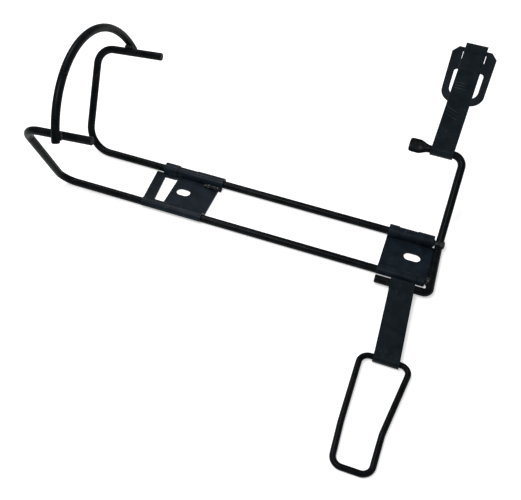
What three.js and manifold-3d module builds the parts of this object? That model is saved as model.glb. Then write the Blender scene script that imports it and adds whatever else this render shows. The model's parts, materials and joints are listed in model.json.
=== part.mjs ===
// Wall bracket for an upright cylinder: two bent steel rails, a front bow, two folded plates,
// and a clamp made of two straps, a wire bail and a lever plate.
// Millimetres. +X runs along the rails (up when the bracket hangs on a wall), +Y across them
// towards the latch, and +Z out of the wall. The wall plane is z = 0.
import * as THREE from "three";
import { mergeVertices } from "three/addons/utils/BufferGeometryUtils.js";
import Module from "manifold-3d";

const wasm = await Module();
wasm.setup();

const degrees = THREE.MathUtils.degToRad;

// ---- Driving dimensions -------------------------------------------------------------------

const rodRadius = 4;
const rodSides = 20;
const bendSteps = 6;
const gap = 0.3;

// Rails and foot hooks
const railSpacing = 56.6;
const railY = railSpacing / 2;
const railZ = rodRadius;
const footX = -350;
const railEndX = 39.3;
const hookSplay = degrees(25);
const hookLeg = 109.6;
const hookTip = 72.5;
const hookTipRise = degrees(5.7);
const hookRootBend = { lower: 16, upper: 26 };
const hookElbowBend = 19;

// Front bow
const bowRadius = 93.4;
const bowCentre = new THREE.Vector3(-306.3, 0, 68.6);
const bowLean = degrees(-9.7);
const bowYaw = degrees(2.5);
const bowStart = degrees(21.4);
const bowEnd = degrees(155.8);
const bowSteps = 30;
const crossingSamples = 300;

// Folded plates
const plateThickness = 1.5;
const foldRadius = 1;
const foldSteps = 4;
const flangeSteps = 14;
const tabOverlap = 0.2;
const plateEdgeY = 24;
const slotSteps = 8;
const slotOffsetY = 3.2;

const footPlate = {
  left: -263,
  slant: 2,
  right: -192.3,
  slot: { x: -225.7, length: 15, width: 10 },
  window: { left: -251.4, right: -239, halfHeight: 19.5 },
  flanges: [
    { side: 1, from: -256.5, to: -241.5, clearance: 1.5, toeZ: 2 },
    { side: 1, from: -241.5, to: -220, clearance: 0.5, toeZ: 2 },
    { side: 1, from: -220, to: -189.5, clearance: 1, toeZ: 2 },
    { side: -1, from: -257.5, to: -192.3, clearance: gap, toeZ: 4 },
  ],
};

const clampPlate = {
  left: -8.5,
  slant: 0,
  right: 47.8,
  slot: { x: 21.4, length: 17, width: 10.5 },
  window: null,
  flanges: [
    { side: 1, from: -8.5, to: 1.3, clearance: 2, toeZ: 2 },
    { side: 1, from: 1.3, to: 21, clearance: 1.3, toeZ: 2 },
    { side: 1, from: 21, to: 38, clearance: 1.9, toeZ: 2 },
    { side: -1, from: -8.5, to: 30.6, clearance: gap, toeZ: 4 },
    { side: -1, from: 31.6, to: 38, clearance: gap, toeZ: 4 },
  ],
};

// Hinge rod: lower pin, cross run on the clamp plate, arm, upper pin with a flattened end
const runX = 43.8;
const lowerCornerX = 45.2;
const runZ = plateThickness + gap + rodRadius;
const lowerPinY = -42.2;
const lowerPinEndX = -7.8;
const armFootY = 24.4;
const armAngle = degrees(36.9);
const armLength = 94.6;
const upperPinY = armFootY + armLength * Math.cos(armAngle);
const upperPinZ = runZ + armLength * Math.sin(armAngle);
const lowerPinBend = 6;
const hingeBend = 11;
const paddle = { start: 8, full: -3, end: -13.2, halfWidth: 7.5, halfThickness: 1.8, steps: 6 };

// Straps
const strapWidth = 23.5;
const strapThickness = 1.3;
const curlClearance = 0.45;
const curlWrap = degrees(290);
const curlSteps = 20;
const lowerStrap = { x: 19.2, skew: 0.047, length: 88.6 };
const latchStrap = { x: 21.1, skew: 0.037, length: 129.2, angle: degrees(24.3) };

// Bail: distances out from its hinge bar, and the x of each leg there
const bailRadius = 2.75;
const bailSides = 16;
const bailLength = 109.5;
const bailKink = 71;
const bailBend = 9;
const bailTightBend = 8;
const bailKinkBend = 25;
const bailSeam = 1;
const bailLeft = { hinge: 0.9, kink: 1.1, end: 2.9 };
const bailRight = { hinge: 45.6, kink: 35.6, end: 34.8 };

// Curl radii at the middle of the sheet; the bail's bar is held just clear of the wall plane
const pinCurl = rodRadius + curlClearance + strapThickness / 2;
const bailCurl = bailRadius + curlClearance + strapThickness / 2;
const bailBarZ = bailCurl + strapThickness / 2 + 0.05;

// Lever plate: distances down from the top bar that the latch strap curls around
const lever = {
  thickness: 2,
  width: 48.3,
  top: -0.2,
  length: 70,
  chamferAcross: 6.5,
  chamferDown: 7,
  corner: 16,
  cornerSteps: 6,
  slot: { top: 4.1, bottom: 14.3, halfWidth: 12.5 },
  window: { top: 26.5, bottom: 61.8, halfWidth: 16.3, topCorner: 3.5, bottomCorner: 11 },
};

// Weld beads: at each bow crossing, at each rail's end, and along the foot plate's upper crease
const weldSides = 16;
const bowWeld = { x: 4.9, y: 4.9, z: 4.9 };
const railEndWelds = {
  lower: { at: { x: 41.8, y: -railY, z: 6.6 }, radii: { x: 3.1, y: 5.2, z: 4.4 } },
  upper: { at: { x: 44.2, y: railY - 3, z: 6.9 }, radii: { x: 5.5, y: 7.5, z: 4.6 } },
};
const creaseWeld = { start: -207, pitch: 3.4, z: 2.7, radii: [2.3, 2.8, 2.5, 3, 2.4] };

// ---- Materials ----------------------------------------------------------------------------

function paint(color, roughness) {
  return new THREE.MeshStandardMaterial({ color, roughness, metalness: 0.35 });
}

const blackRod = () => paint(0x14171b, 0.42);
const blackSheet = () => paint(0x171c24, 0.48);
const blackWeld = () => paint(0x101215, 0.6);

// ---- Solids and booleans ------------------------------------------------------------------

function toSolid(geometry) {
  const bare = geometry.index ? geometry.toNonIndexed() : geometry.clone();
  bare.deleteAttribute("normal");
  bare.deleteAttribute("uv");
  const merged = mergeVertices(bare, 1e-4);
  return new wasm.Manifold(
    new wasm.Mesh({
      numProp: 3,
      vertProperties: new Float32Array(merged.attributes.position.array),
      triVerts: new Uint32Array(merged.index.array),
    }),
  );
}

function toGeometry(solid) {
  const mesh = solid.getMesh();
  const geometry = new THREE.BufferGeometry();
  geometry.setAttribute("position", new THREE.BufferAttribute(mesh.vertProperties, 3));
  geometry.setIndex(new THREE.BufferAttribute(mesh.triVerts, 1));
  geometry.computeVertexNormals();
  return geometry;
}

function joinAll(geometries) {
  const solids = geometries.map(toSolid);
  return solids.reduce((whole, solid) => whole.add(solid));
}

function largestBody(solid) {
  const bodies = solid.decompose();
  return bodies.reduce((best, body) => (body.volume() > best.volume() ? body : best));
}

// ---- Bent rod -----------------------------------------------------------------------------

// A centre line of straight stretches and circular bends. Its parameter steps from one station
// to the next, so that every bend gets the same few stations and a straight stretch gets none.
class BentPath extends THREE.Curve {
  constructor(corners, bendRadii) {
    super();
    this.points = [];
    this.tangents = [];
    const last = corners.length - 1;
    this.addStation(corners[0], corners[1].clone().sub(corners[0]).normalize());
    for (let i = 1; i < last; i += 1) {
      this.addBend(corners[i - 1], corners[i], corners[i + 1], bendRadii[i - 1]);
    }
    this.addStation(corners[last], corners[last].clone().sub(corners[last - 1]).normalize());
  }

  addStation(point, tangent) {
    this.points.push(point.clone());
    this.tangents.push(tangent.clone());
  }

  addBend(before, corner, after, radius) {
    const arriving = corner.clone().sub(before).normalize();
    const leaving = after.clone().sub(corner).normalize();
    const turn = arriving.angleTo(leaving);
    const setback = radius * Math.tan(turn / 2);
    const axis = arriving.clone().cross(leaving).normalize();
    const inward = axis.clone().cross(arriving);
    const start = corner.clone().addScaledVector(arriving, -setback);
    const centre = start.clone().addScaledVector(inward, radius);
    const spoke = start.clone().sub(centre);
    for (let i = 0; i <= bendSteps; i += 1) {
      const angle = (turn * i) / bendSteps;
      const point = spoke.clone().applyAxisAngle(axis, angle).add(centre);
      this.addStation(point, arriving.clone().applyAxisAngle(axis, angle));
    }
  }

  get steps() {
    return this.points.length - 1;
  }

  getPointAt(u) {
    return this.points[Math.round(u * this.steps)].clone();
  }

  getTangentAt(u) {
    return this.tangents[Math.round(u * this.steps)].clone();
  }
}

function discShape(radius) {
  const shape = new THREE.Shape();
  shape.absarc(0, 0, radius, 0, 2 * Math.PI, false);
  return shape;
}

function bentRod(corners, bendRadii, radius = rodRadius, sides = rodSides) {
  const path = new BentPath(corners, bendRadii);
  return new THREE.ExtrudeGeometry(discShape(radius), {
    steps: path.steps,
    extrudePath: path,
    curveSegments: sides / 2,
  });
}

// ---- Rails, bow and hinge rod -------------------------------------------------------------

// side is -1 for the rail at -Y and +1 for the rail at +Y
function hookCorners(side) {
  const rise = hookLeg * Math.cos(hookSplay);
  const spread = hookLeg * Math.sin(hookSplay);
  const bend = new THREE.Vector3(footX, side * railY, railZ);
  const elbow = new THREE.Vector3(footX, side * (railY + spread), railZ + rise);
  const alongTip = new THREE.Vector3(Math.cos(hookTipRise), 0, Math.sin(hookTipRise));
  const tip = elbow.clone().addScaledVector(alongTip, hookTip);
  return [new THREE.Vector3(railEndX, side * railY, railZ), bend, elbow, tip];
}

function hookRail(side, radius = rodRadius) {
  const rootBend = side < 0 ? hookRootBend.lower : hookRootBend.upper;
  return bentRod(hookCorners(side), [rootBend, hookElbowBend], radius);
}

class BowPath extends THREE.Curve {
  getPoint(t) {
    const angle = bowStart + (bowEnd - bowStart) * t;
    return new THREE.Vector3(0, Math.cos(angle), Math.sin(angle))
      .multiplyScalar(bowRadius)
      .applyAxisAngle(new THREE.Vector3(0, 1, 0), bowLean)
      .applyAxisAngle(new THREE.Vector3(0, 0, 1), bowYaw)
      .add(bowCentre);
  }
}

function frontBow(radius = rodRadius) {
  return new THREE.ExtrudeGeometry(discShape(radius), {
    steps: bowSteps,
    extrudePath: new BowPath(),
    curveSegments: rodSides / 2,
  });
}

// The upper pin's end is pressed flat in the plane of the pin and the arm
function pressFlat(geometry) {
  const position = geometry.attributes.position;
  const across = new THREE.Vector2(Math.cos(armAngle), Math.sin(armAngle));
  const through = new THREE.Vector2(-across.y, across.x);
  for (let i = 0; i < position.count; i += 1) {
    const x = position.getX(i);
    const nearUpperPin = position.getZ(i) > upperPinZ - hingeBend / 2;
    if (nearUpperPin && x < paddle.start) {
      const share = Math.min(1, (paddle.start - x) / (paddle.start - paddle.full));
      const ease = share * share * (3 - 2 * share);
      const wide = 1 + ease * (paddle.halfWidth / rodRadius - 1);
      const thin = 1 + ease * (paddle.halfThickness / rodRadius - 1);
      const spoke = new THREE.Vector2(position.getY(i) - upperPinY, position.getZ(i) - upperPinZ);
      const u = spoke.dot(across) * wide;
      const v = spoke.dot(through) * thin;
      position.setY(i, upperPinY + u * across.x + v * through.x);
      position.setZ(i, upperPinZ + u * across.y + v * through.y);
    }
  }
  return geometry;
}

function hingeRod(radius = rodRadius) {
  const corners = [
    new THREE.Vector3(lowerPinEndX, lowerPinY, runZ),
    new THREE.Vector3(lowerCornerX, lowerPinY, runZ),
    new THREE.Vector3(runX, armFootY, runZ),
    new THREE.Vector3(runX, upperPinY, upperPinZ),
    new THREE.Vector3(paddle.start, upperPinY, upperPinZ),
  ];
  const path = new BentPath(corners, [lowerPinBend, hingeBend, hingeBend]);
  for (let i = 1; i <= paddle.steps; i += 1) {
    const x = paddle.start + ((paddle.end - paddle.start) * i) / paddle.steps;
    path.addStation(new THREE.Vector3(x, upperPinY, upperPinZ), new THREE.Vector3(-1, 0, 0));
  }
  const rod = new THREE.ExtrudeGeometry(discShape(radius), {
    steps: path.steps,
    extrudePath: path,
    curveSegments: rodSides / 2,
  });
  return pressFlat(rod);
}

// ---- Sheet metal --------------------------------------------------------------------------

function arcPoints(centre, radius, from, to, steps) {
  return Array.from({ length: steps + 1 }, (_, i) => {
    const angle = from + ((to - from) * i) / steps;
    return new THREE.Vector2(
      centre.x + radius * Math.cos(angle),
      centre.y + radius * Math.sin(angle),
    );
  });
}

// The outline of a sheet of constant thickness whose middle follows the given points
function sheetShape(middle, thickness) {
  const left = [];
  const right = [];
  middle.forEach((point, i) => {
    const before = middle[Math.max(i - 1, 0)];
    const after = middle[Math.min(i + 1, middle.length - 1)];
    const along = after.clone().sub(before).normalize();
    const across = new THREE.Vector2(-along.y, along.x).multiplyScalar(thickness / 2);
    left.push(point.clone().add(across));
    right.push(point.clone().sub(across));
  });
  return new THREE.Shape(left.concat(right.reverse()));
}

// Extrudes an outline drawn in (y, z) along x, from x = from to x = to
function extrudeAlongX(shape, from, to) {
  const geometry = new THREE.ExtrudeGeometry(shape, { depth: to - from, bevelEnabled: false });
  const turn = new THREE.Matrix4().makeBasis(
    new THREE.Vector3(0, 1, 0),
    new THREE.Vector3(0, 0, 1),
    new THREE.Vector3(1, 0, 0),
  );
  return geometry.applyMatrix4(turn).translate(from, 0, 0);
}

// ---- Plates -------------------------------------------------------------------------------

// A flange leaves the flat, rises beside the rail, passes over its front and ends on its far side
function flange({ side, from, to, clearance, toeZ }, thickness = plateThickness) {
  const middleRadius = rodRadius + clearance + plateThickness / 2;
  const foldMiddle = foldRadius + plateThickness / 2;
  const flatZ = plateThickness / 2;
  const wallY = railY - middleRadius;
  const foldCentre = new THREE.Vector2(wallY - foldMiddle, flatZ + foldMiddle);
  const middle = [
    new THREE.Vector2(foldCentre.x - plateThickness, flatZ),
    ...arcPoints(foldCentre, foldMiddle, -Math.PI / 2, 0, foldSteps),
    ...arcPoints(new THREE.Vector2(railY, railZ), middleRadius, Math.PI, 0, flangeSteps),
    new THREE.Vector2(railY + middleRadius, toeZ),
  ];
  const placed = middle.map((point) => new THREE.Vector2(side * point.x, point.y));
  return extrudeAlongX(sheetShape(placed, thickness), from, to + tabOverlap);
}

function slotHole({ x, length, width }) {
  const radius = width / 2;
  const reach = length / 2 - radius;
  const hole = new THREE.Path();
  hole.absarc(x + reach, slotOffsetY, radius, -Math.PI / 2, Math.PI / 2, false);
  hole.absarc(x - reach, slotOffsetY, radius, Math.PI / 2, (3 * Math.PI) / 2, false);
  return hole;
}

// The window's left side follows the plate's slanted left edge
function windowHole({ left, right, halfHeight }, slant) {
  return new THREE.Path([
    new THREE.Vector2(left + slant, -halfHeight),
    new THREE.Vector2(right, -halfHeight),
    new THREE.Vector2(right, halfHeight),
    new THREE.Vector2(left - slant, halfHeight),
  ]);
}

function foldedPlate({ left, slant, right, slot, window, flanges }) {
  const outline = new THREE.Shape([
    new THREE.Vector2(left + slant, -plateEdgeY),
    new THREE.Vector2(right, -plateEdgeY),
    new THREE.Vector2(right, plateEdgeY),
    new THREE.Vector2(left - slant, plateEdgeY),
  ]);
  outline.holes.push(slotHole(slot));
  if (window) {
    outline.holes.push(windowHole(window, slant));
  }
  const flat = new THREE.ExtrudeGeometry(outline, {
    depth: plateThickness,
    bevelEnabled: false,
    curveSegments: slotSteps,
  });
  return toGeometry(joinAll([flat, ...flanges.map((each) => flange(each))]));
}

// ---- Straps -------------------------------------------------------------------------------

// A strap lies along side * Y from one curl to the other, with both curls rolled under it. It
// leans sideways by its skew, while its curls stay square to their pins.
function curledStrap({ length, skew }, nearCurl, farCurl, side) {
  const near = new THREE.Vector2(0, 0);
  const far = new THREE.Vector2(length, 0);
  const tilt = Math.asin((farCurl - nearCurl) / length);
  const top = Math.PI / 2 + tilt;
  const middle = [
    ...arcPoints(near, nearCurl, top + curlWrap, top, curlSteps),
    ...arcPoints(far, farCurl, top, top - curlWrap, curlSteps),
  ];
  const placed = middle.map((point) => new THREE.Vector2(side * point.x, point.y));
  const outline = sheetShape(placed, strapThickness);
  const geometry = extrudeAlongX(outline, -strapWidth / 2, strapWidth / 2);
  const lean = new THREE.Matrix4().makeShear(0, 0, side * skew, 0, 0, 0);
  return geometry.applyMatrix4(lean);
}

// ---- Bail ---------------------------------------------------------------------------------

// The wire's two ends meet inside the lower strap's far curl
function bail(slope) {
  const middleX = lowerStrap.x + lowerStrap.skew * lowerStrap.length;
  const at = (x, out) => new THREE.Vector3(x, -out * Math.cos(slope), -out * Math.sin(slope));
  const corners = [
    at(middleX + bailSeam, 0),
    at(bailRight.hinge, 0),
    at(bailRight.kink, bailKink),
    at(bailRight.end, bailLength),
    at(bailLeft.end, bailLength),
    at(bailLeft.kink, bailKink),
    at(bailLeft.hinge, 0),
    at(middleX - bailSeam, 0),
  ];
  const bends = [bailTightBend, bailKinkBend, bailBend, bailBend, bailKinkBend, bailBend];
  return bentRod(corners, bends, bailRadius, bailSides);
}

// ---- Lever plate --------------------------------------------------------------------------

function leverPlate() {
  const half = lever.width / 2;
  const { slot, window, corner } = lever;
  const outline = new THREE.Shape();
  outline.moveTo(half - lever.chamferAcross, -lever.top);
  outline.lineTo(-half + lever.chamferAcross, -lever.top);
  outline.lineTo(-half, -lever.top - lever.chamferDown);
  outline.absarc(-half + corner, -lever.length + corner, corner, Math.PI, 1.5 * Math.PI, false);
  outline.absarc(half - corner, -lever.length + corner, corner, 1.5 * Math.PI, 2 * Math.PI, false);
  outline.lineTo(half, -lever.top - lever.chamferDown);

  outline.holes.push(
    new THREE.Path([
      new THREE.Vector2(-slot.halfWidth, -slot.top),
      new THREE.Vector2(-slot.halfWidth, -slot.bottom),
      new THREE.Vector2(slot.halfWidth, -slot.bottom),
      new THREE.Vector2(slot.halfWidth, -slot.top),
    ]),
  );

  const opening = new THREE.Path();
  const upper = -window.top - window.topCorner;
  const lower = -window.bottom + window.bottomCorner;
  const upperX = window.halfWidth - window.topCorner;
  const lowerX = window.halfWidth - window.bottomCorner;
  opening.absarc(upperX, upper, window.topCorner, 0, Math.PI / 2, false);
  opening.absarc(-upperX, upper, window.topCorner, Math.PI / 2, Math.PI, false);
  opening.absarc(-lowerX, lower, window.bottomCorner, Math.PI, 1.5 * Math.PI, false);
  opening.absarc(lowerX, lower, window.bottomCorner, 1.5 * Math.PI, 2 * Math.PI, false);
  outline.holes.push(opening);

  const geometry = new THREE.ExtrudeGeometry(outline, {
    depth: lever.thickness,
    bevelEnabled: false,
    curveSegments: lever.cornerSteps,
  });
  return geometry.translate(0, 0, -lever.thickness / 2);
}

// ---- Welds --------------------------------------------------------------------------------

function weldLump({ x, y, z }, radii) {
  const lump = new THREE.SphereGeometry(1, weldSides, weldSides / 2);
  return lump.scale(radii.x, radii.y, radii.z).translate(x, y, z);
}

// A bead is what is left of its lumps outside the pieces it joins, each grown by the gap
function weldBead(lumps, cutters) {
  const bead = cutters.reduce((rest, cutter) => rest.subtract(toSolid(cutter)), joinAll(lumps));
  return toGeometry(largestBody(bead));
}

function bowBead(side) {
  const cutters = [hookRail(side, rodRadius + gap), frontBow(rodRadius + gap)];
  return weldBead([weldLump(bowCrossing(side), bowWeld)], cutters);
}

function railEndBead(side, { at, radii }) {
  const cutters = [hookRail(side, rodRadius + gap), hingeRod(rodRadius + gap)];
  return weldBead([weldLump(at, radii)], cutters);
}

// A row of overlapping lumps in the corner between the foot plate's flat and its upper flange
function creaseBead() {
  const { start, pitch, z, radii } = creaseWeld;
  const tab = footPlate.flanges[2];
  const y = railY - rodRadius - tab.clearance - plateThickness - z / 2;
  const lumps = radii.map((radius, i) => {
    const size = { x: radius, y: radius, z: radius };
    return weldLump({ x: start + pitch * i, y, z }, size);
  });
  const end = start + pitch * radii.length;
  const flat = new THREE.BoxGeometry(end - start + pitch, plateEdgeY, plateThickness + gap);
  flat.translate((start + end - pitch) / 2, plateEdgeY / 2, (plateThickness + gap) / 2);
  return weldBead(lumps, [flat, flange(tab, plateThickness + 2 * gap)]);
}

// Where the bow passes a hook tip: the point on the bow nearest to the tip's straight line
function bowCrossing(side) {
  const [, , elbow, tip] = hookCorners(side);
  const tipLine = new THREE.Line3(elbow, tip);
  const bow = new BowPath();
  const onTip = new THREE.Vector3();
  let nearest = { distance: Infinity };
  for (let i = 0; i <= crossingSamples; i += 1) {
    const onBow = bow.getPoint(i / crossingSamples);
    tipLine.closestPointToPoint(onBow, true, onTip);
    const distance = onBow.distanceTo(onTip);
    if (distance < nearest.distance) {
      nearest = { distance, middle: onBow.clone().add(onTip).multiplyScalar(0.5) };
    }
  }
  return nearest.middle;
}

// ---- Assembly -----------------------------------------------------------------------------

const bracket = new THREE.Group();

function addPiece(name, geometry, material, parent = bracket) {
  const piece = new THREE.Mesh(geometry, material);
  piece.name = name;
  parent.add(piece);
  return piece;
}

addPiece("hook_rail_lower", hookRail(-1), blackRod());
addPiece("hook_rail_upper", hookRail(1), blackRod());
addPiece("front_bow", frontBow(), blackRod());
addPiece("hinge_rod", hingeRod(), blackRod());
addPiece("foot_plate", foldedPlate(footPlate), blackSheet());
addPiece("clamp_plate", foldedPlate(clampPlate), blackSheet());
addPiece("weld_bow_lower", bowBead(-1), blackWeld());
addPiece("weld_bow_upper", bowBead(1), blackWeld());
addPiece("weld_rail_end_lower", railEndBead(-1, railEndWelds.lower), blackWeld());
addPiece("weld_rail_end_upper", railEndBead(1, railEndWelds.upper), blackWeld());
addPiece("weld_foot_plate", creaseBead(), blackWeld());

// Lower strap: its pin is fixed, and it slopes down until its far curl rests on the wall plane
const lowerStrapDrop = Math.asin((runZ - bailBarZ) / lowerStrap.length);
const lowerHinge = new THREE.Group();
lowerHinge.position.set(lowerStrap.x, lowerPinY, runZ);
lowerHinge.rotation.x = lowerStrapDrop;
bracket.add(lowerHinge);
const lowerStrapGeometry = curledStrap(lowerStrap, pinCurl, bailCurl, -1);
addPiece("lower_strap", lowerStrapGeometry, blackSheet(), lowerHinge);

const bailHinge = new THREE.Group();
bailHinge.position.set(0, lowerPinY - lowerStrap.length * Math.cos(lowerStrapDrop), bailBarZ);
bracket.add(bailHinge);
const bailDrop = Math.asin((bailBarZ - bailRadius) / bailLength);
addPiece("bail", bail(bailDrop), blackRod(), bailHinge);

// Latch strap on the upper pin, with the lever plate hanging from its far curl
const latchHinge = new THREE.Group();
latchHinge.position.set(latchStrap.x, upperPinY, upperPinZ);
latchHinge.rotation.x = latchStrap.angle;
bracket.add(latchHinge);
const latchStrapGeometry = curledStrap(latchStrap, pinCurl, pinCurl, 1);
addPiece("latch_strap", latchStrapGeometry, blackSheet(), latchHinge);

const leverHinge = new THREE.Group();
leverHinge.position.set(latchStrap.skew * latchStrap.length, latchStrap.length, 0);
leverHinge.rotation.x = Math.PI / 2 - latchStrap.angle;
latchHinge.add(leverHinge);
addPiece("lever_plate", leverPlate(), blackSheet(), leverHinge);

export default bracket;
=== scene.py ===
"""Looks for a painted wire wall bracket: rods, folded plates, hinged straps, bail and lever.

Metres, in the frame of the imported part. The bracket lies on its wall face, on a pale floor.
"""

import json
import math

import bmesh
import bpy
from mathutils import Matrix, Vector

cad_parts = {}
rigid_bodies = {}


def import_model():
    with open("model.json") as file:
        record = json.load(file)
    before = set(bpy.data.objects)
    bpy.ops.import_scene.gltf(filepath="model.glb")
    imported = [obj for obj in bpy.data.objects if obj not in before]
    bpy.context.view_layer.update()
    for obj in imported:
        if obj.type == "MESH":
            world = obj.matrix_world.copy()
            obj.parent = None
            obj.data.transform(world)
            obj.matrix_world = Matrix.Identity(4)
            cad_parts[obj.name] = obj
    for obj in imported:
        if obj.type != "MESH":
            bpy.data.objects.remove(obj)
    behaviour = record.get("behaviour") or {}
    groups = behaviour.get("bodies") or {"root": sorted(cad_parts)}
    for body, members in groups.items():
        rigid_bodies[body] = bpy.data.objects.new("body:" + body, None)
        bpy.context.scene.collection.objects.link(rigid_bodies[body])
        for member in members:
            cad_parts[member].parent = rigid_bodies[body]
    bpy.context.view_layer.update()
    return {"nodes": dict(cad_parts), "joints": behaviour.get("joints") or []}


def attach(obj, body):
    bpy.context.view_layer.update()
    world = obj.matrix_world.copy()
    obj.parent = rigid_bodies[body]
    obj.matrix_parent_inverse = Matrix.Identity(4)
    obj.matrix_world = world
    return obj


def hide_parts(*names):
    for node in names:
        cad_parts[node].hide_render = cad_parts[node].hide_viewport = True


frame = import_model()
NODES = frame["nodes"]
JOINTS = {joint["name"]: Vector(joint["pos_m"]) for joint in frame["joints"]}
MM = 0.001

# ---- Dimensions of the part, in millimetres -------------------------------------------------

ROD_RADIUS = 4.0
RAIL_Y = 28.3
RAIL_Z = 4.0
RAIL_END_X = 39.3
FOOT_X = -350.0
HOOK_LEG = 109.6
HOOK_SPLAY = math.radians(25)
HOOK_TIP = 72.5
HOOK_TIP_RISE = math.radians(5.7)
HOOK_ROOT_BEND = {-1: 16.0, 1: 26.0}
HOOK_ELBOW_BEND = 19.0

BOW_RADIUS = 93.4
BOW_CENTRE = Vector((-306.3, 0, 68.6))
BOW_LEAN = math.radians(-9.7)
BOW_YAW = math.radians(2.5)
BOW_START = math.radians(21.4)
BOW_END = math.radians(155.8)

HINGE_RUN_X = 43.8
HINGE_CORNER_X = 45.2
HINGE_Z = 5.8
LOWER_PIN_Y = -42.2
LOWER_PIN_END_X = -7.8
ARM_FOOT_Y = 24.4
ARM_ANGLE = math.radians(36.9)
ARM_LENGTH = 94.6
LOWER_PIN_BEND = 6.0
ARM_BEND = 11.0
PADDLE_START = 8.0
PADDLE_FULL = -3.0
PADDLE_END = -13.2
PADDLE_HALF_WIDTH = 7.5
PADDLE_HALF_THICKNESS = 1.8
PADDLE_TIP_ROUND = 4.0
PADDLE_TIP_SHARE = 0.7
PADDLE_ZONE = 1.0
UPPER_PIN_Y = ARM_FOOT_Y + ARM_LENGTH * math.cos(ARM_ANGLE)
UPPER_PIN_Z = HINGE_Z + ARM_LENGTH * math.sin(ARM_ANGLE)

STRAP_WIDTH = 23.5
STRAP_THICKNESS = 1.3
PIN_CURL = 5.1
BAIL_CURL = 3.85
CURL_WRAP = math.radians(290)
CURL_STEPS = 36
STRAP_COLUMNS = 6
RIB_LEFT = -9.5
RIB_RIGHT = 3.5
RIB_RADIUS = 0.5
SLANTED_RIBS = ((42.0, 36.5), (46.0, 40.5), (50.0, 44.5))
CROSS_RIBS = ((74.0, 74.0), (77.5, 77.5), (81.0, 81.0))

BAIL_RADIUS = 2.75
BAIL_LENGTH = 109.5
BAIL_KINK = 71.0
BAIL_BENDS = (8.0, 25.0, 9.0, 9.0, 25.0, 9.0)
BAIL_SEAM = 1.0
BAIL_LEFT = (0.9, 1.1, 2.9)
BAIL_RIGHT = (45.6, 35.6, 34.8)

# ---- Fineness of the meshes, in millimetres unless a count ----------------------------------

ROD_SIDES = 28
WIRE_SIDES = 24
RIB_SIDES = 12
BOW_STEPS = 72
BEND_STEP = math.radians(7)
STRAIGHT_STEP = 12.0
FINE_STEP = 2.0
ROD_CHAMFER = 0.6
WIRE_CHAMFER = 0.3
PLATE_EDGE = 0.3
LEVER_EDGE = 0.4
STRAP_EDGE = 0.3
SHARP_ANGLE = math.radians(35)
FLAT_ANGLE = math.radians(0.6)
WELD_VOXEL = 0.25
WELD_LUMP_SIZE = 1.3
WELD_LUMP_HEIGHT = 0.7

# ---- Mesh helpers ---------------------------------------------------------------------------


def add_object(name, mesh_data):
    piece = bpy.data.objects.new(name, mesh_data)
    bpy.context.scene.collection.objects.link(piece)
    return piece


def shade_smooth(mesh_data):
    for face in mesh_data.polygons:
        face.use_smooth = True


def bevel_edges(piece, width):
    bevel = piece.modifiers.new("edge_round", "BEVEL")
    bevel.width = width * MM
    bevel.segments = 2
    bevel.limit_method = "ANGLE"
    bevel.angle_limit = SHARP_ANGLE
    piece.modifiers.new("normals", "WEIGHTED_NORMAL").keep_sharp = True


def roughen(piece, size, strength):
    """Pushes the surface in and out by a noise of the given size, both in millimetres."""
    noise = bpy.data.textures.new(piece.name + "_noise", "CLOUDS")
    noise.noise_scale = size * MM
    noise.noise_depth = 2
    displace = piece.modifiers.new("rough", "DISPLACE")
    displace.texture = noise
    displace.texture_coords = "GLOBAL"
    displace.strength = strength * MM
    displace.mid_level = 0.5


def finish_piece(piece, body, slot, material, *nodes):
    piece.data.materials.clear()
    piece.data.materials.append(material)
    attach(piece, body)
    if nodes:
        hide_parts(*nodes)


# ---- Rods -----------------------------------------------------------------------------------


def bent_path(corners, bends, straight=STRAIGHT_STEP):
    """Stations (point, tangent) along straight stretches and circular bends."""
    stations = []

    def run_to(end, tangent):
        start = stations[-1][0]
        length = (end - start).length
        pieces = max(1, round(length / straight))
        for i in range(1, pieces):
            stations.append((start.lerp(end, i / pieces), tangent.copy()))

    stations.append((corners[0].copy(), (corners[1] - corners[0]).normalized()))
    for i, radius in enumerate(bends, start=1):
        arriving = (corners[i] - corners[i - 1]).normalized()
        leaving = (corners[i + 1] - corners[i]).normalized()
        turn = arriving.angle(leaving)
        axis = arriving.cross(leaving).normalized()
        start = corners[i] - arriving * radius * math.tan(turn / 2)
        centre = start + axis.cross(arriving) * radius
        run_to(start, arriving)
        count = max(2, math.ceil(turn / BEND_STEP))
        for j in range(count + 1):
            spin = Matrix.Rotation(turn * j / count, 3, axis)
            stations.append((centre + spin @ (start - centre), spin @ arriving))
    last = (corners[-1] - corners[-2]).normalized()
    run_to(corners[-1], last)
    stations.append((corners[-1].copy(), last))
    return stations


def add_end_chamfers(stations, chamfer):
    """Adds a ring just inside each end, and says how far each ring is drawn in."""
    (first, first_way), (last, last_way) = stations[0], stations[-1]
    inner_first = (first + first_way * chamfer, first_way)
    inner_last = (last - last_way * chamfer, last_way)
    full = [stations[0], inner_first, *stations[1:-1], inner_last, stations[-1]]
    inset = [chamfer] + [0.0] * (len(full) - 2) + [chamfer]
    return full, inset


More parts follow.
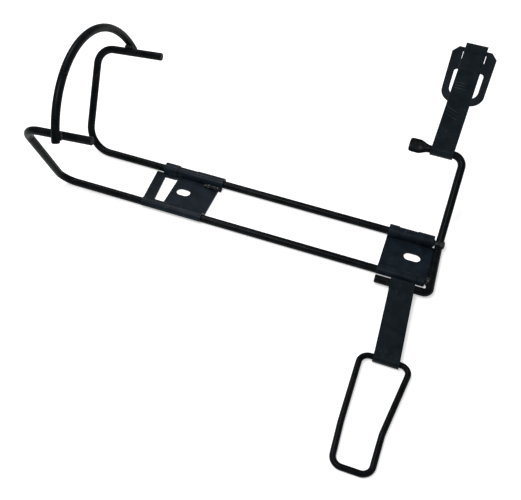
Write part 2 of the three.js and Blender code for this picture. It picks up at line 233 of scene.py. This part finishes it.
def sweep_rod(name, stations, radius, sides=ROD_SIDES, chamfer=ROD_CHAMFER, reshape=None):
    """A round rod along the stations, with its ends closed by a chamfer and a flat."""
    stations, inset = add_end_chamfers(stations, chamfer)
    shape = bmesh.new()
    tangent = stations[0][1]
    side = tangent.orthogonal().normalized()
    rings = []
    for (point, way), cut in zip(stations, inset):
        side = (tangent.rotation_difference(way) @ side).normalized()
        tangent = way
        across = way.cross(side)
        ring = []
        for k in range(sides):
            angle = 2 * math.pi * k / sides
            spoke = (side * math.cos(angle) + across * math.sin(angle)) * (radius - cut)
            if reshape:
                spoke = reshape(point, spoke)
            ring.append(shape.verts.new((point + spoke) * MM))
        rings.append(ring)
    for near, far in zip(rings, rings[1:]):
        for k in range(sides):
            after = (k + 1) % sides
            shape.faces.new((near[k], near[after], far[after], far[k]))
    shape.faces.new(list(reversed(rings[0])))
    shape.faces.new(rings[-1])
    bmesh.ops.recalc_face_normals(shape, faces=shape.faces)
    mesh_data = bpy.data.meshes.new(name)
    shape.to_mesh(mesh_data)
    shape.free()
    shade_smooth(mesh_data)
    piece = add_object(name, mesh_data)
    piece.modifiers.new("normals", "WEIGHTED_NORMAL").keep_sharp = True
    return piece


def hook_rail(side):
    rise = HOOK_LEG * math.cos(HOOK_SPLAY)
    spread = HOOK_LEG * math.sin(HOOK_SPLAY)
    root = Vector((FOOT_X, side * RAIL_Y, RAIL_Z))
    elbow = Vector((FOOT_X, side * (RAIL_Y + spread), RAIL_Z + rise))
    tip_way = Vector((math.cos(HOOK_TIP_RISE), 0, math.sin(HOOK_TIP_RISE)))
    corners = [
        Vector((RAIL_END_X, side * RAIL_Y, RAIL_Z)),
        root,
        elbow,
        elbow + tip_way * HOOK_TIP,
    ]
    return bent_path(corners, (HOOK_ROOT_BEND[side], HOOK_ELBOW_BEND))


def bow_path():
    stations = []
    lean = Matrix.Rotation(BOW_LEAN, 3, "Y")
    yaw = Matrix.Rotation(BOW_YAW, 3, "Z")
    for i in range(BOW_STEPS + 1):
        angle = BOW_START + (BOW_END - BOW_START) * i / BOW_STEPS
        spoke = Vector((0, math.cos(angle), math.sin(angle)))
        way = Vector((0, -math.sin(angle), math.cos(angle)))
        stations.append((BOW_CENTRE + yaw @ lean @ spoke * BOW_RADIUS, yaw @ lean @ way))
    return stations


def hinge_rod_path():
    corners = [
        Vector((LOWER_PIN_END_X, LOWER_PIN_Y, HINGE_Z)),
        Vector((HINGE_CORNER_X, LOWER_PIN_Y, HINGE_Z)),
        Vector((HINGE_RUN_X, ARM_FOOT_Y, HINGE_Z)),
        Vector((HINGE_RUN_X, UPPER_PIN_Y, UPPER_PIN_Z)),
        Vector((PADDLE_END, UPPER_PIN_Y, UPPER_PIN_Z)),
    ]
    return bent_path(corners, (LOWER_PIN_BEND, ARM_BEND, ARM_BEND), straight=FINE_STEP)


def press_paddle(point, spoke):
    """The upper pin's end is pressed flat in the plane of the pin and the arm."""
    if point.x >= PADDLE_START or point.z < UPPER_PIN_Z - PADDLE_ZONE:
        return spoke
    share = min(1, (PADDLE_START - point.x) / (PADDLE_START - PADDLE_FULL))
    ease = share * share * (3 - 2 * share)
    across = Vector((0, math.cos(ARM_ANGLE), math.sin(ARM_ANGLE)))
    through = Vector((0, -math.sin(ARM_ANGLE), math.cos(ARM_ANGLE)))
    to_tip = min(1, (point.x - PADDLE_END) / PADDLE_TIP_ROUND)
    rounding = PADDLE_TIP_SHARE + (1 - PADDLE_TIP_SHARE) * math.sqrt(1 - (1 - to_tip) ** 2)
    wide = rounding * (1 + ease * (PADDLE_HALF_WIDTH / ROD_RADIUS - 1))
    thin = 1 + ease * (PADDLE_HALF_THICKNESS / ROD_RADIUS - 1)
    return across * spoke.dot(across) * wide + through * spoke.dot(through) * thin


def bail_path():
    hinge = JOINTS["bail_hinge"] / MM
    slope = math.asin((hinge.z - BAIL_RADIUS) / BAIL_LENGTH)

    def at(x, out):
        return Vector((x, hinge.y - out * math.cos(slope), hinge.z - out * math.sin(slope)))

    corners = [
        at(hinge.x + BAIL_SEAM, 0),
        at(BAIL_RIGHT[0], 0),
        at(BAIL_RIGHT[1], BAIL_KINK),
        at(BAIL_RIGHT[2], BAIL_LENGTH),
        at(BAIL_LEFT[2], BAIL_LENGTH),
        at(BAIL_LEFT[1], BAIL_KINK),
        at(BAIL_LEFT[0], 0),
        at(hinge.x - BAIL_SEAM, 0),
    ]
    return bent_path(corners, BAIL_BENDS)


# ---- Straps ---------------------------------------------------------------------------------


def strap_middle(length, near_curl, far_curl):
    """Middle line of a strap with both ends rolled under it, as (along, up) in millimetres."""
    top = math.pi / 2 + math.asin((far_curl - near_curl) / length)

    def arc(centre, radius, start, end):
        for i in range(CURL_STEPS + 1):
            angle = start + (end - start) * i / CURL_STEPS
            yield centre + radius * math.cos(angle), radius * math.sin(angle)

    rolled = list(arc(0, near_curl, top + CURL_WRAP, top))
    unrolled = list(arc(length, far_curl, top, top - CURL_WRAP))
    return rolled + unrolled


def sheet_sides(middle, thickness):
    left, right = [], []
    for i, (along, up) in enumerate(middle):
        before = middle[max(i - 1, 0)]
        after = middle[min(i + 1, len(middle) - 1)]
        run = Vector((after[0] - before[0], after[1] - before[1])).normalized()
        normal = Vector((-run.y, run.x)) * thickness / 2
        left.append((along + normal.x, up + normal.y))
        right.append((along - normal.x, up - normal.y))
    return left, right


def curled_strap(name, near, far, near_curl, far_curl, ribs=()):
    """A strap from one pin to the other. It leans sideways, and its curls stay square."""
    near, far = near / MM, far / MM
    flat = Vector((0, far.y - near.y, far.z - near.z))
    length = flat.length
    along = flat / length
    up = Vector((1, 0, 0)).cross(along)
    up = up if up.z > 0 else -up
    skew = (far.x - near.x) / length
    left, right = sheet_sides(strap_middle(length, near_curl, far_curl), STRAP_THICKNESS)
    columns = [STRAP_WIDTH * (k / STRAP_COLUMNS - 0.5) for k in range(STRAP_COLUMNS + 1)]
    shape = bmesh.new()

    def place(x, point):
        lateral = Vector((x + skew * point[0], 0, 0))
        return shape.verts.new((near + lateral + along * point[0] + up * point[1]) * MM)

    outline = left + right[::-1]
    rows = [[place(x, point) for x in columns] for point in outline]
    count = len(rows)
    for i in range(count):
        row, following = rows[i], rows[(i + 1) % count]
        for k in range(len(columns) - 1):
            shape.faces.new((row[k], row[k + 1], following[k + 1], following[k]))
    for i in range(count // 2 - 1):
        j = count - 1 - i
        for k in (0, len(columns) - 1):
            shape.faces.new((rows[i][k], rows[i + 1][k], rows[j - 1][k], rows[j][k]))
    bmesh.ops.recalc_face_normals(shape, faces=shape.faces)
    mesh_data = bpy.data.meshes.new(name)
    shape.to_mesh(mesh_data)
    shape.free()
    shade_smooth(mesh_data)
    piece = add_object(name, mesh_data)
    bevel_edges(piece, STRAP_EDGE)
    surface = near_curl + STRAP_THICKNESS / 2
    for i, (start, end) in enumerate(ribs):
        ends = [
            near + Vector((x + skew * s, 0, 0)) + along * s + up * surface
            for s, x in ((start, RIB_LEFT), (end, RIB_RIGHT))
        ]
        path = bent_path(ends, ())
        rib = sweep_rod(f"{name}_rib_{i}", path, RIB_RADIUS, sides=RIB_SIDES, chamfer=WIRE_CHAMFER)
        rib.parent = piece
    return piece


# ---- CAD copies with rounded edges ----------------------------------------------------------


def flat_copy(node, name):
    """A copy of a CAD node with its flat faces joined up."""
    source = NODES[node]
    shape = bmesh.new()
    shape.from_mesh(source.data)
    bmesh.ops.remove_doubles(shape, verts=shape.verts, dist=1e-6)
    bmesh.ops.dissolve_limit(
        shape,
        angle_limit=FLAT_ANGLE,
        verts=shape.verts,
        edges=shape.edges,
    )
    mesh_data = bpy.data.meshes.new(name)
    shape.to_mesh(mesh_data)
    shape.free()
    shade_smooth(mesh_data)
    return add_object(name, mesh_data)


def rounded_copy(node, name, width):
    """A copy of a CAD node with its edges broken by a bevel."""
    piece = flat_copy(node, name)
    bevel_edges(piece, width)
    return piece


def rough_bead(node, name):
    """A weld bead: the CAD bead remeshed finely and made lumpy."""
    piece = flat_copy(node, name)
    remesh = piece.modifiers.new("fine", "REMESH")
    remesh.mode = "VOXEL"
    remesh.voxel_size = WELD_VOXEL * MM
    remesh.use_smooth_shade = True
    roughen(piece, WELD_LUMP_SIZE, WELD_LUMP_HEIGHT)
    return piece


# ---- Materials: noise scales are per metre, widths and depths are in millimetres ------------

MOTTLE_SCALE = 90.0
SPECK_SCALE = 420.0
PATCH_SCALE = 45.0
BROKEN_EDGE_SCALE = 260.0
GLOSS_SCALE = 150.0
PEEL_SCALE = 900.0
PEEL_DEPTH = 0.12
WORN_EDGE = 0.5
SHARP_EDGE_DOT = 0.86
NO_EDGE_DOT = 0.985
GLOSS_SPREAD = 0.09
WEAR_DULLING = 0.25
SCUFF_HEIGHT = 0.6
COAT_WEIGHT = 0.02
COAT_ROUGHNESS = 0.2
SPECULAR_LEVEL = 0.075
ROD_SPECULAR_LEVEL = 0.035
GRAIN_SCALE = 700.0
GRAIN_ROUGHNESS = 0.3
GRAIN_METAL = 0.3
WELD_ROUGHNESS = 0.55
WELD_SPECULAR_LEVEL = 0.15
WELD_BUMP_SCALE = 500.0
WELD_BUMP_STRENGTH = 0.8
WELD_BUMP_DEPTH = 0.3
FLOOR_GLOW = 0.5


class Graph:
    """A small helper that adds and links shader nodes."""

    def __init__(self, name):
        self.material = bpy.data.materials.new(name)
        self.material.use_nodes = True
        self.tree = self.material.node_tree
        self.shader = self.tree.nodes["Principled BSDF"]
        self.position = self.add("ShaderNodeTexCoord").outputs["Object"]

    def add(self, kind, **values):
        node = self.tree.nodes.new(kind)
        for key, value in values.items():
            setattr(node, key, value)
        return node

    def link(self, source, target):
        self.tree.links.new(source, target)

    def noise(self, scale, detail=4.0, distortion=0.0):
        node = self.add("ShaderNodeTexNoise")
        node.inputs["Scale"].default_value = scale
        node.inputs["Detail"].default_value = detail
        node.inputs["Distortion"].default_value = distortion
        self.link(self.position, node.inputs["Vector"])
        return node.outputs["Fac"]

    def ramp(self, source, low, high, start=0.0, end=1.0):
        node = self.add("ShaderNodeMapRange")
        node.inputs["From Min"].default_value = low
        node.inputs["From Max"].default_value = high
        node.inputs["To Min"].default_value = start
        node.inputs["To Max"].default_value = end
        self.link(source, node.inputs["Value"])
        return node.outputs["Result"]

    def mix(self, factor, first, second):
        node = self.add("ShaderNodeMix", data_type="RGBA")
        self.link(factor, node.inputs["Factor"])
        for value, socket in ((first, node.inputs["A"]), (second, node.inputs["B"])):
            if isinstance(value, tuple):
                socket.default_value = (*value, 1)
            else:
                self.link(value, socket)
        return node.outputs["Result"]

    def combine(self, operation, first, second):
        node = self.add("ShaderNodeMath", operation=operation, use_clamp=True)
        for value, socket in zip((first, second), node.inputs):
            if isinstance(value, float):
                socket.default_value = value
            else:
                self.link(value, socket)
        return node.outputs["Value"]

    def edge_wear(self, radius):
        """Brighter where the surface turns within the given radius, in millimetres."""
        soft = self.add("ShaderNodeBevel", samples=6)
        soft.inputs["Radius"].default_value = radius * MM
        sharp = self.add("ShaderNodeNewGeometry")
        dot = self.add("ShaderNodeVectorMath", operation="DOT_PRODUCT")
        self.link(soft.outputs["Normal"], dot.inputs[0])
        self.link(sharp.outputs["Normal"], dot.inputs[1])
        return self.ramp(dot.outputs["Value"], NO_EDGE_DOT, SHARP_EDGE_DOT)

    def bump(self, height, strength, distance):
        node = self.add("ShaderNodeBump")
        node.inputs["Strength"].default_value = strength
        node.inputs["Distance"].default_value = distance * MM
        self.link(height, node.inputs["Height"])
        self.link(node.outputs["Normal"], self.shader.inputs["Normal"])


def paint(name, dark, light, worn, roughness, peel, specular=SPECULAR_LEVEL):
    """Black paint on steel: mottled colour, uneven gloss, orange peel, scuffs and worn edges."""
    graph = Graph(name)
    mottle = graph.ramp(graph.noise(MOTTLE_SCALE, 5.0, 0.4), 0.35, 0.68)
    colour = graph.mix(mottle, dark, light)
    specks = graph.ramp(graph.noise(SPECK_SCALE, 6.0, 1.5), 0.62, 0.74)
    patches = graph.ramp(graph.noise(PATCH_SCALE, 2.0), 0.5, 0.66)
    scuffed = graph.combine("MULTIPLY", specks, patches)
    broken = graph.ramp(graph.noise(BROKEN_EDGE_SCALE), 0.42, 0.6)
    edges = graph.combine("MULTIPLY", graph.edge_wear(WORN_EDGE), broken)
    wear = graph.combine("ADD", scuffed, edges)
    graph.link(graph.mix(wear, colour, worn), graph.shader.inputs["Base Color"])
    smooth, rough = roughness - GLOSS_SPREAD, roughness + GLOSS_SPREAD
    gloss = graph.ramp(graph.noise(GLOSS_SCALE), 0.3, 0.7, smooth, rough)
    dulled = graph.combine("MULTIPLY", wear, WEAR_DULLING)
    graph.link(graph.combine("ADD", gloss, dulled), graph.shader.inputs["Roughness"])
    dents = graph.combine("MULTIPLY", scuffed, SCUFF_HEIGHT)
    graph.bump(graph.combine("ADD", graph.noise(PEEL_SCALE, 3.0), dents), peel, PEEL_DEPTH)
    graph.shader.inputs["Coat Weight"].default_value = COAT_WEIGHT
    graph.shader.inputs["Coat Roughness"].default_value = COAT_ROUGHNESS
    graph.shader.inputs["Specular IOR Level"].default_value = specular
    return graph.material


def weld_material():
    """Painted weld: bare bright grains standing out of dark paint."""
    graph = Graph("painted_weld")
    grains = graph.ramp(graph.noise(GRAIN_SCALE, 3.0), 0.52, 0.6)
    colour = graph.mix(grains, (0.004, 0.005, 0.007), (0.06, 0.065, 0.07))
    graph.link(colour, graph.shader.inputs["Base Color"])
    roughness = graph.ramp(grains, 0.0, 1.0, WELD_ROUGHNESS, GRAIN_ROUGHNESS)
    graph.link(roughness, graph.shader.inputs["Roughness"])
    graph.link(graph.ramp(grains, 0.0, 1.0, 0.0, GRAIN_METAL), graph.shader.inputs["Metallic"])
    graph.shader.inputs["Specular IOR Level"].default_value = WELD_SPECULAR_LEVEL
    graph.bump(graph.noise(WELD_BUMP_SCALE, 5.0), WELD_BUMP_STRENGTH, WELD_BUMP_DEPTH)
    return graph.material


def floor_material():
    graph = Graph("pale_floor")
    colour = graph.mix(graph.noise(6.0, 3.0), (0.93, 0.93, 0.93), (0.95, 0.95, 0.95))
    graph.link(colour, graph.shader.inputs["Base Color"])
    graph.shader.inputs["Roughness"].default_value = 0.9
    graph.shader.inputs["Specular IOR Level"].default_value = 0.1
    graph.shader.inputs["Emission Color"].default_value = (1, 1, 1, 1)
    graph.shader.inputs["Emission Strength"].default_value = FLOOR_GLOW
    graph.bump(graph.noise(300.0), 0.05, 0.2)
    return graph.material


ROD_PAINT = paint(
    "rod_paint",
    dark=(0.001, 0.002, 0.0025),
    light=(0.005, 0.006, 0.007),
    worn=(0.05, 0.05, 0.05),
    roughness=0.32,
    peel=0.5,
    specular=ROD_SPECULAR_LEVEL,
)
WIRE_PAINT = paint(
    "wire_paint",
    dark=(0.001, 0.0015, 0.002),
    light=(0.005, 0.0055, 0.0065),
    worn=(0.045, 0.045, 0.05),
    roughness=0.34,
    peel=0.4,
    specular=ROD_SPECULAR_LEVEL,
)
PLATE_PAINT = paint(
    "plate_paint",
    dark=(0.003, 0.006, 0.01),
    light=(0.007, 0.013, 0.02),
    worn=(0.04, 0.048, 0.055),
    roughness=0.4,
    peel=0.35,
)
STRAP_PAINT = paint(
    "strap_paint",
    dark=(0.002, 0.005, 0.007),
    light=(0.006, 0.011, 0.015),
    worn=(0.042, 0.052, 0.06),
    roughness=0.42,
    peel=0.35,
)
RIB_PAINT = paint(
    "rib_paint",
    dark=(0.008, 0.013, 0.018),
    light=(0.03, 0.036, 0.042),
    worn=(0.06, 0.068, 0.075),
    roughness=0.4,
    peel=0.35,
)
LEVER_PAINT = paint(
    "lever_paint",
    dark=(0.002, 0.005, 0.008),
    light=(0.006, 0.011, 0.017),
    worn=(0.035, 0.042, 0.05),
    roughness=0.36,
    peel=0.3,
)
WELD = weld_material()

# ---- Pieces ---------------------------------------------------------------------------------


def build_rods():
    for side, node in ((-1, "hook_rail_lower"), (1, "hook_rail_upper")):
        piece = sweep_rod(node + "_rod", hook_rail(side), ROD_RADIUS)
        finish_piece(piece, "bracket", "rod_paint", ROD_PAINT, node)
    bow = sweep_rod("front_bow_rod", bow_path(), ROD_RADIUS)
    finish_piece(bow, "bracket", "rod_paint", ROD_PAINT, "front_bow")
    hinge = sweep_rod("hinge_rod_bent", hinge_rod_path(), ROD_RADIUS, reshape=press_paddle)
    finish_piece(hinge, "bracket", "rod_paint", ROD_PAINT, "hinge_rod")
    bail = sweep_rod(
        "bail_wire",
        bail_path(),
        BAIL_RADIUS,
        sides=WIRE_SIDES,
        chamfer=WIRE_CHAMFER,
    )
    finish_piece(bail, "bail", "wire_paint", WIRE_PAINT, "bail")


def build_plates():
    for node in ("foot_plate", "clamp_plate"):
        piece = rounded_copy(node, node + "_pressed", PLATE_EDGE)
        finish_piece(piece, "bracket", "plate_paint", PLATE_PAINT, node)
    lever = rounded_copy("lever_plate", "lever_pressed", LEVER_EDGE)
    finish_piece(lever, "lever", "lever_paint", LEVER_PAINT, "lever_plate")


def build_straps():
    lower = curled_strap(
        "lower_strap_curled",
        JOINTS["lower_strap_hinge"],
        JOINTS["bail_hinge"],
        PIN_CURL,
        BAIL_CURL,
    )
    finish_piece(lower, "lower_strap", "strap_paint", STRAP_PAINT, "lower_strap")
    latch = curled_strap(
        "latch_strap_curled",
        JOINTS["latch_strap_hinge"],
        JOINTS["lever_hinge"],
        PIN_CURL,
        PIN_CURL,
        SLANTED_RIBS + CROSS_RIBS,
    )
    finish_piece(latch, "latch_strap", "strap_paint", STRAP_PAINT, "latch_strap")
    for rib in latch.children:
        rib.data.materials.append(RIB_PAINT)


def build_welds():
    names = (
        "weld_bow_lower",
        "weld_bow_upper",
        "weld_rail_end_lower",
        "weld_rail_end_upper",
        "weld_foot_plate",
    )
    for node in names:
        finish_piece(rough_bead(node, node + "_bead"), "bracket", "weld_paint", WELD, node)


# ---- Floor, light and camera, in metres and watts -------------------------------------------

FLOOR_HALF = 20.0
FLOOR_Z = -0.0004
SKY_STRENGTH = 0.36
LIGHT_TARGET = (-0.1, 0.0, 0.0)
KEY_LIGHT = {"place": (-0.4, -0.6, 1.3), "size": 0.4, "power": 9}
FILL_LIGHT = {"place": (-0.7, 0.5, 1.3), "size": 0.5, "power": 8}
CAMERA_PLACE = (0.00736, -0.51439, 0.52482)
CAMERA_RIGHT = (0.94354, 0.32605, 0.05859)
CAMERA_FORWARD = (-0.18144, 0.65662, -0.73207)
CAMERA_LENS = 49.84
CAMERA_SENSOR = 36
CAMERA_CLIP_START = 0.01


def build_floor():
    mesh_data = bpy.data.meshes.new("floor")
    shape = bmesh.new()
    corners = ((-1, -1), (1, -1), (1, 1), (-1, 1))
    shape.faces.new(
        [shape.verts.new((x * FLOOR_HALF, y * FLOOR_HALF, FLOOR_Z)) for x, y in corners]
    )
    shape.to_mesh(mesh_data)
    shape.free()
    floor = add_object("floor", mesh_data)
    floor.data.materials.append(floor_material())


def add_area_light(name, place, size, power):
    data = bpy.data.lights.new(name, "AREA")
    data.size = size
    data.energy = power
    lamp = bpy.data.objects.new(name, data)
    lamp.location = place
    aim = Vector(LIGHT_TARGET) - Vector(place)
    lamp.rotation_euler = aim.to_track_quat("-Z", "Y").to_euler()
    bpy.context.scene.collection.objects.link(lamp)


def build_lights():
    world = bpy.data.worlds.new("studio")
    world.use_nodes = True
    background = world.node_tree.nodes["Background"]
    background.inputs["Color"].default_value = (1, 1, 1, 1)
    background.inputs["Strength"].default_value = SKY_STRENGTH
    bpy.context.scene.world = world
    bpy.context.scene.view_settings.view_transform = "Standard"
    add_area_light("key", **KEY_LIGHT)
    add_area_light("fill", **FILL_LIGHT)


def build_camera():
    data = bpy.data.cameras.new("camera")
    data.lens = CAMERA_LENS
    data.sensor_width = CAMERA_SENSOR
    data.clip_start = CAMERA_CLIP_START
    right = Vector(CAMERA_RIGHT).normalized()
    forward = Vector(CAMERA_FORWARD).normalized()
    up = right.cross(forward).normalized()
    turn = Matrix((right, up, -forward)).transposed().to_4x4()
    camera = bpy.data.objects.new("camera", data)
    camera.matrix_world = Matrix.Translation(CAMERA_PLACE) @ turn
    bpy.context.scene.collection.objects.link(camera)
    bpy.context.scene.camera = camera


build_rods()
build_plates()
build_straps()
build_welds()
build_floor()
build_lights()
build_camera()
bpy.context.view_layer.update()
